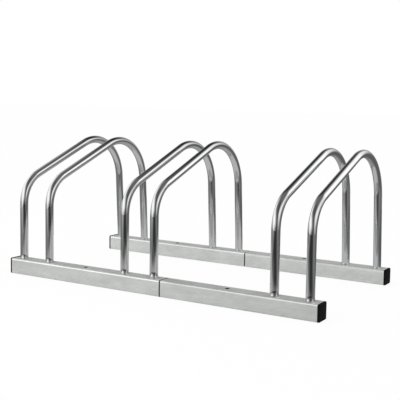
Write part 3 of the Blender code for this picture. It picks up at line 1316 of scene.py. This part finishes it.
@dataclass(frozen=True)
class Studio:
    """The white room: world, floor, and the dome that bright metal reflects."""

    room_level: float = 0.92
    key_place: Triple = (-1.1, -1.5, 0.55)
    key_size: float = 0.8
    key_power: float = 9.0
    dome_radius: float = 1.42
    dome_height: float = 0.15
    horizon: float = 0.372
    sky: float = 0.390
    sky_start: float = 60.0
    floor_level: float = 0.211
    floor_color: float = 0.97
    floor_span: float = 30.0
    floor_glow: float = 0.92
    patches: tuple[FloorPatch, ...] = (
        FloorPatch(0.163, -0.664, 0.396, 1.269, 0.41, 0.389, 20.5),
        FloorPatch(0.224, -1.092, 0.820, 0.520, 0.43, 0.037, 38.9),
        FloorPatch(-1.107, -1.379, 0.959, 0.389, 0.99, 0.494, 20.3),
        FloorPatch(0.814, 0.745, 0.508, 0.625, 0.14, 0.126, 23.5),
        FloorPatch(0.003, -0.560, 0.263, 0.109, 1.44, 0.124, 4.2),
        FloorPatch(-0.060, -0.240, 0.300, 0.060, 0.94, 0.560, 0.0),
        FloorPatch(0.000, 0.079, 0.441, 0.107, 0.38, 0.551, 0.0),
    )
    panels: tuple[SoftPanel, ...] = (
        SoftPanel(-17.8, 74.1, 184.5, 40.2, 9.9, 20.7, 47.3, 0.158),
        SoftPanel(-87.5, 30.2, 30.9, 20.0, 8.6, 37.3, -22.7, 1.417),
        SoftPanel(-18.9, 10.8, 30.1, 25.9, 18.1, 32.1, -46.3, 1.226),
        SoftPanel(71.2, 19.5, 42.9, 19.6, 44.2, 32.2, 56.7, 1.069),
        SoftPanel(130.7, 20.9, 12.8, 24.5, 22.4, 23.8, -3.6, 1.450),
        SoftPanel(148.5, 33.9, 8.9, 16.9, 27.7, 29.7, -19.4, 1.157),
        SoftPanel(36.1, 23.7, 17.4, 47.4, 33.8, 6.3, -22.0, 0.069),
        SoftPanel(24.4, -4.2, 32.4, 9.8, 54.6, 31.4, 10.6, 0.070),
        SoftPanel(-152.0, 51.2, 39.7, 16.7, 74.9, 28.0, -65.0, 0.018),
        SoftPanel(132.7, -0.7, 30.9, 8.1, 26.4, 30.0, -1.8, 0.000),
    )

    def build_world(self) -> None:
        """Lights the scene evenly in plain white."""
        world = bpy.data.worlds.new("plain_white")
        bpy.context.scene.world = world
        world.use_nodes = True
        world.cycles.sampling_method = "NONE"
        sheet = NodeSheet(world.node_tree)
        seen = sheet.math("MAXIMUM", *sheet.rays())
        sheet.feed(world.node_tree.nodes["Background"], {
            "Color": (1.0, 1.0, 1.0, 1.0), "Strength": sheet.mix(seen, self.room_level, 1.0)})

    def build_key(self) -> None:
        """Sets up one large soft light in front and to the left."""
        data = bpy.data.lights.new("key_light", "AREA")
        data.shape = "DISK"
        data.size = self.key_size
        data.energy = self.key_power
        lamp = link_object("key_light", data)
        lamp.location = self.key_place
        lamp.rotation_euler = (-lamp.location).to_track_quat("-Z", "Y").to_euler()
        lamp.visible_glossy = False

    @staticmethod
    def _backdrop(name: str) -> tuple[Material, NodeSheet, NodeSocket]:
        """Starts a material that glows without lighting the stand.

        Args:
            name: its name.

        Returns:
            The material, a sheet for its nodes and its object coordinates.
        """
        material = bpy.data.materials.new(name)
        material.use_nodes = True
        material.cycles.emission_sampling = "NONE"
        material.node_tree.nodes.remove(material.node_tree.nodes["Principled BSDF"])
        sheet = NodeSheet(material.node_tree)
        return material, sheet, sheet.add("ShaderNodeTexCoord").outputs["Object"]

    def build_dome(self) -> None:
        """Sets up the dome of soft boxes and flags that only reflections see."""
        mesh = bmesh.new()
        bmesh.ops.create_uvsphere(mesh, u_segments=96, v_segments=48, radius=self.dome_radius)
        material, sheet, place = self._backdrop("studio_dome")
        ray = sheet.add("ShaderNodeVectorMath", {0: place}, operation="NORMALIZE").outputs[0]
        way = sheet.split(ray)
        ahead = sheet.math("MULTIPLY", way["Y"], -1.0)
        azimuth, elevation = (
            sheet.math("MULTIPLY", angle, math.degrees(1.0))
            for angle in (sheet.math("ARCTAN2", way["X"], ahead),
                          sheet.math("ARCSINE", way["Z"])))
        level = sheet.ramp(elevation, 0.0, self.sky_start, self.horizon, self.sky)
        for panel in self.panels:
            level = sheet.mix(panel.mask(sheet, azimuth, elevation), level, panel.level)
        glow = sheet.add("ShaderNodeEmission", {"Color": level})
        sheet.feed(sheet.tree.nodes["Material Output"], {"Surface": glow.outputs[0]})
        dome = make_piece("studio_dome", mesh, material)
        dome.location = (0.0, 0.0, self.dome_height)
        dome.visible_camera = False
        dome.visible_diffuse = False
        dome.visible_shadow = False

    def build_floor(self) -> None:
        """Lays the white floor, which keeps the stand's soft shadow."""
        mesh = bmesh.new()
        bmesh.ops.create_grid(mesh, x_segments=1, y_segments=1, size=self.floor_span / 2)
        material, sheet, spot = self._backdrop("white_floor")
        place = sheet.split(spot)
        # Mirrored rays see the floor glow instead: dark grey with soft lighter and darker
        # patches.
        level = self.floor_level
        for patch in self.patches:
            level = sheet.mix(patch.mask(sheet, place), level, patch.level)
        matt = sheet.add("ShaderNodeBsdfDiffuse", {"Color": (*[self.floor_color] * 3, 1.0)})
        white = sheet.add("ShaderNodeEmission")
        shine = sheet.add("ShaderNodeEmission", {"Color": level})
        camera_ray, mirrored = sheet.rays()
        share = sheet.math("MULTIPLY", camera_ray, self.floor_glow)
        straight = sheet.add("ShaderNodeMixShader", {0: share, 1: matt.outputs[0],
                                                     2: white.outputs[0]})
        final = sheet.add("ShaderNodeMixShader", {0: mirrored, 1: straight.outputs[0],
                                                  2: shine.outputs[0]})
        sheet.feed(sheet.tree.nodes["Material Output"], {"Surface": final.outputs[0]})
        make_piece("floor", mesh, material)

    def build(self) -> None:
        """Sets up the room in order and reports it."""
        for step in (self.build_world, self.build_key, self.build_dome, self.build_floor):
            step()
            LOG.info("studio: %s done", step.__name__)


@dataclass(frozen=True)
class PhotoCamera:
    """The photograph's point of view."""

    place: Triple = (0.9014, -1.4812, 0.3863)
    azimuth: float = 0.5175
    fall: float = 0.0972
    roll: float = 0.0186
    focal_pixels: float = 841.82
    centre: tuple[float, float] = (225.0, 175.0)
    sensor: float = 36.0
    far: float = 100.0

    def build(self) -> None:
        """Makes the camera and gives it to the scene."""
        ahead = Vector((-math.sin(self.azimuth) * math.cos(self.fall),
                        math.cos(self.azimuth) * math.cos(self.fall), -math.sin(self.fall)))
        right = Vector((math.cos(self.azimuth), math.sin(self.azimuth), 0.0))
        up = right.cross(ahead)
        turned_right = right * math.cos(self.roll) + up * math.sin(self.roll)
        turned_up = up * math.cos(self.roll) - right * math.sin(self.roll)
        data = bpy.data.cameras.new("photo_camera")
        data.sensor_width = self.sensor
        data.lens = self.sensor * self.focal_pixels / IMAGE_SIZE
        data.shift_x = (IMAGE_SIZE / 2 - self.centre[0]) / IMAGE_SIZE
        data.shift_y = (self.centre[1] - IMAGE_SIZE / 2) / IMAGE_SIZE
        data.clip_end = self.far
        camera = link_object("photo_camera", data)
        axes = Matrix((turned_right, turned_up, -ahead)).transposed().to_4x4()
        camera.matrix_world = Matrix.Translation(self.place) @ axes
        bpy.context.scene.camera = camera
        LOG.info("camera made")


def main() -> None:
    """Builds the studio and dresses the stand."""
    bpy.context.scene.view_settings.view_transform = "Standard"
    PhotoCamera().build()
    Studio().build()
    effects = Effects()
    layout = Layout()
    # Per section: the painted edge highlight is strongest on the left, near the key light.
    zinc = (
        GalvanisedSteel("front_rail_left"),
        GalvanisedSteel("front_rail_right", color=(0.63, 0.65, 0.63), painted_edge_highlight=0.18),
        GalvanisedSteel("rear_rail_left", color=(0.72, 0.74, 0.72), painted_edge_highlight=0.34,
                        edge_depth=0.0025),
        GalvanisedSteel("rear_rail_right", color=(0.71, 0.73, 0.71), painted_edge_highlight=0.04,
                        edge_depth=0.0040),
    )
    Rails(layout).build({finish.name: finish.build(effects, layout) for finish in zinc})
    Hoops(layout).build([BrightTube("bright_tube_%d" % n).build(effects) for n in HOOPS])
    PlasticFittings(layout).build(MouldedPlastic("moulded_plastic").build(effects))
    Fasteners(layout).build(ZincHardware("zinc_hardware").build(effects))


if __name__ == "__main__":
    main()
